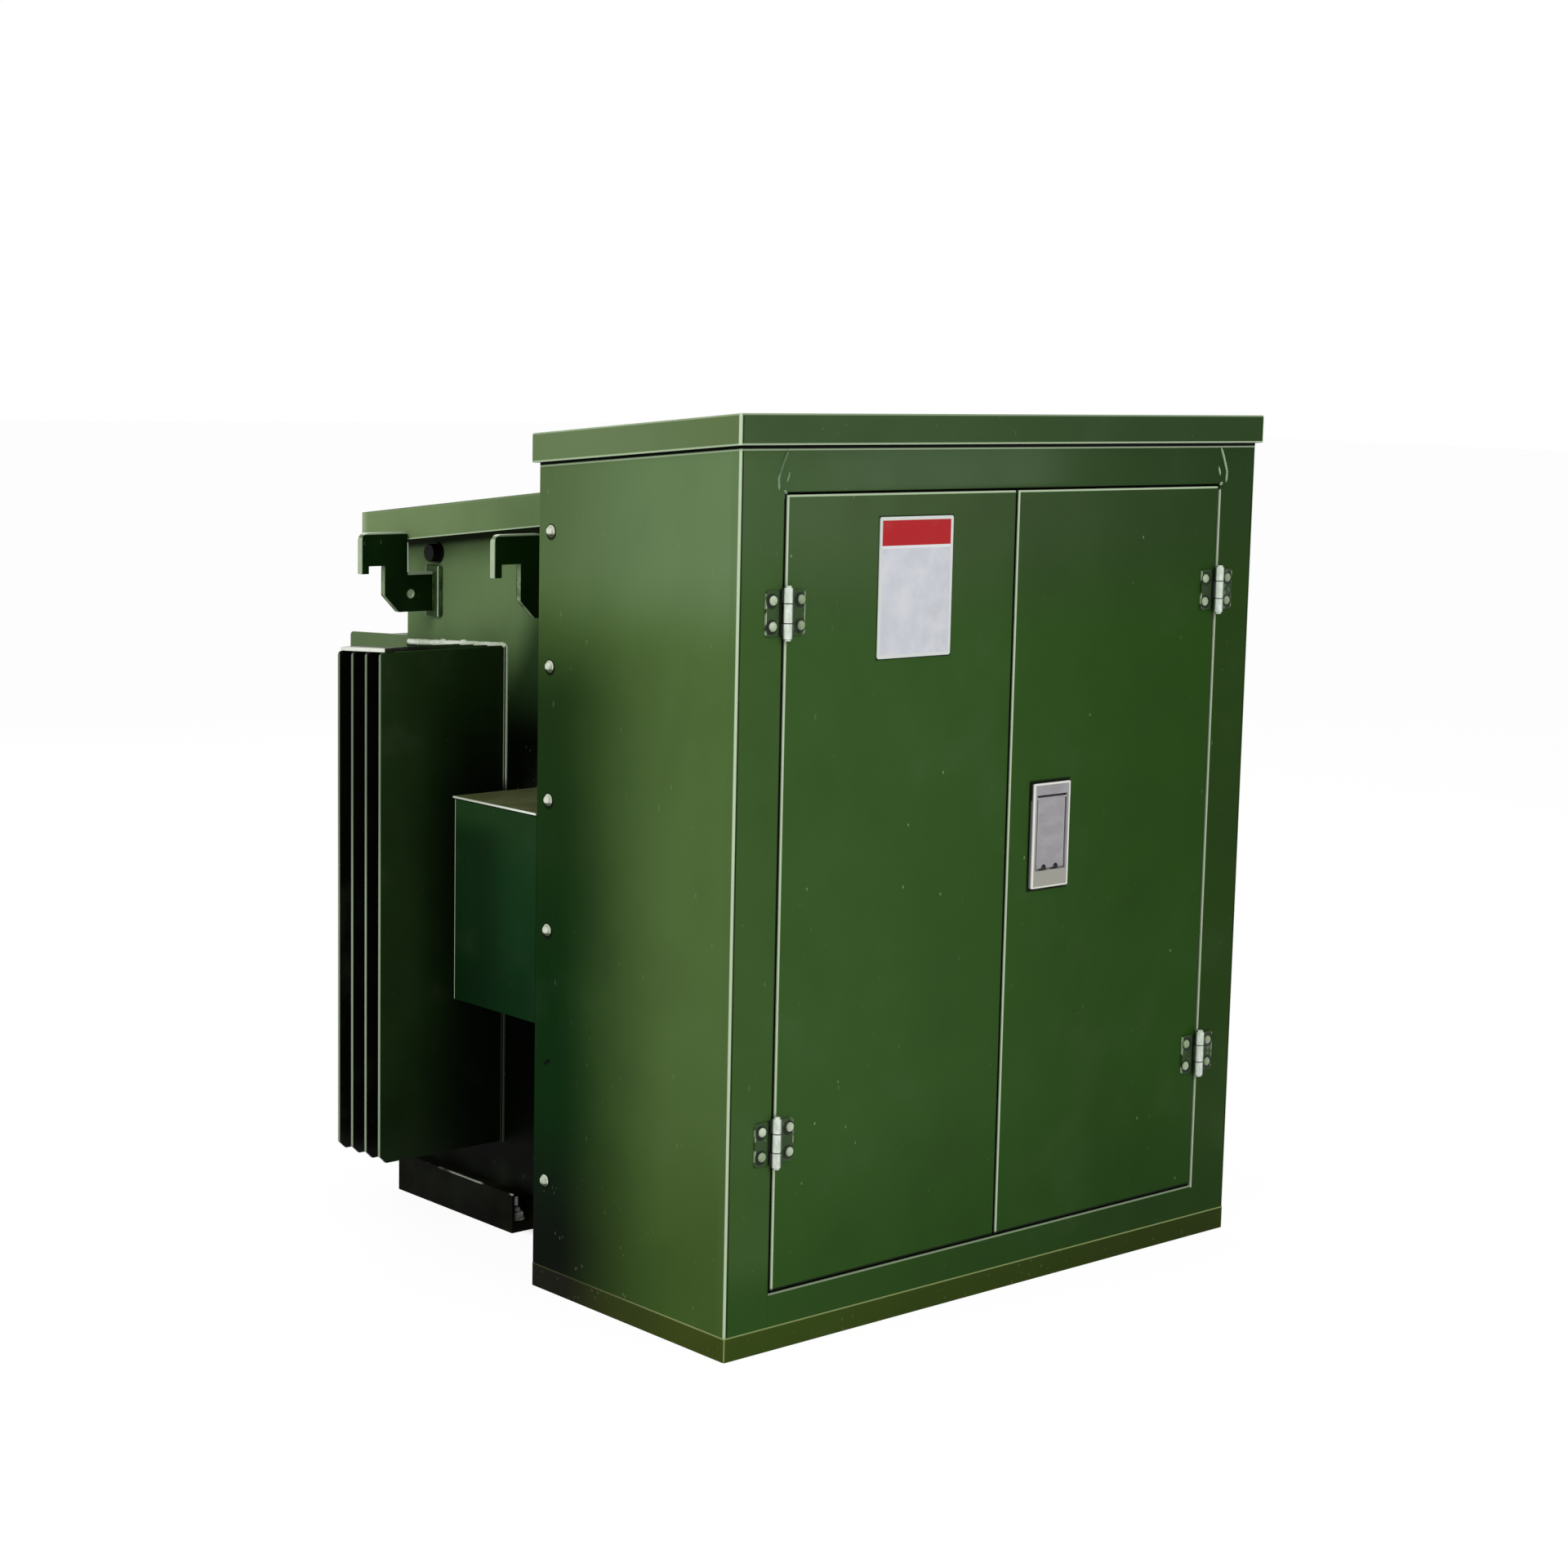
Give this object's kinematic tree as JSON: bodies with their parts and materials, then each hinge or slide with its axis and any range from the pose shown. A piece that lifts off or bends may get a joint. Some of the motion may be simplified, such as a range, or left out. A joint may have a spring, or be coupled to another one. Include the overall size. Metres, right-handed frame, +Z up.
{
  "type": "pad-mounted power transformer",
  "caption": "Oil-filled power transformer for a ground pad: a terminal cabinet with two hinged doors in front of a finned tank with lifting hooks.",
  "frame": {"origin": "on the ground, in the middle of the overall width and depth", "axes": "+Z up, +X to the right seen from the doors, +Y from the doors towards the tank"},
  "size_m": [1.716, 1.712, 1.8496],
  "materials": {
    "cabinet_paint": "semi-gloss green enamel, dusty and lightly scratched",
    "strip_paint": "green enamel gone olive with splashed soil",
    "door_paint": "semi-gloss green enamel",
    "tank_paint": "semi-gloss green enamel",
    "fin_paint": "dark green enamel",
    "box_paint": "blue-green enamel",
    "base_paint": "near black enamel, sooty",
    "hinge_steel": "satin stainless steel with thin overspray",
    "lock_steel": "satin stainless steel",
    "sign_sheet": "white enamelled sheet with a red band",
    "epoxy": "brown cast epoxy",
    "tinned_copper": "tinned copper, satin"
  },
  "bodies": {
    "housing": {"roof": "cabinet_paint", "side_panel_left": "cabinet_paint", "side_panel_right": "cabinet_paint", "jamb_left": "cabinet_paint", "jamb_right": "cabinet_paint", "header": "cabinet_paint", "sill": "cabinet_paint", "base_strip_front": "strip_paint", "base_strip_left": "strip_paint", "base_strip_right": "strip_paint", "hinge_frame_left": "hinge_steel", "hinge_frame_right": "hinge_steel", "bulkhead": "tank_paint", "bolt_flanges": "tank_paint", "tank_body": "tank_paint", "tank_flange": "tank_paint", "tank_cover": "tank_paint", "fin_bank_left": "fin_paint", "fin_bank_right": "fin_paint", "fin_bank_rear": "fin_paint", "fin_panels": "fin_paint", "fin_tie_bars": "fin_paint", "lifting_hooks_left": "fin_paint", "lifting_hooks_right": "fin_paint", "hook_pads": "fin_paint", "filling_plug": "base_paint", "side_box_left": "box_paint", "side_box_right": "box_paint", "side_box_lids": "box_paint", "base_rail_left": "base_paint", "base_rail_right": "base_paint", "base_cross_members": "base_paint", "tie_down_lugs": "base_paint", "compartment_barrier": "tank_paint", "hv_bushings": "epoxy", "lv_bushings": "epoxy", "lv_terminals": "tinned_copper", "ground_pads": "tinned_copper"},
    "left_door": {"door_left": "door_paint", "hinge_door_left": "hinge_steel", "sign_plate": "sign_sheet"},
    "right_door": {"door_right": "door_paint", "hinge_door_right": "hinge_steel", "lock_frame": "lock_steel"},
    "lock_flap": {"lock_flap": "lock_steel"}
  },
  "joints": [
    {"name": "left_door_hinge", "type": "hinge", "parent": "housing", "child": "left_door", "pos_m": [-0.6325, -0.846, 0.949], "axis": [0, 0, -1], "range_deg": [0, 120]},
    {"name": "right_door_hinge", "type": "hinge", "parent": "housing", "child": "right_door", "pos_m": [0.6325, -0.846, 0.949], "axis": [0, 0, 1], "range_deg": [0, 120]},
    {"name": "lock_flap_hinge", "type": "hinge", "parent": "right_door", "child": "lock_flap", "pos_m": [0.125, -0.8405, 1.0503], "axis": [-1, 0, 0], "range_deg": [0, 75]}
  ]
}
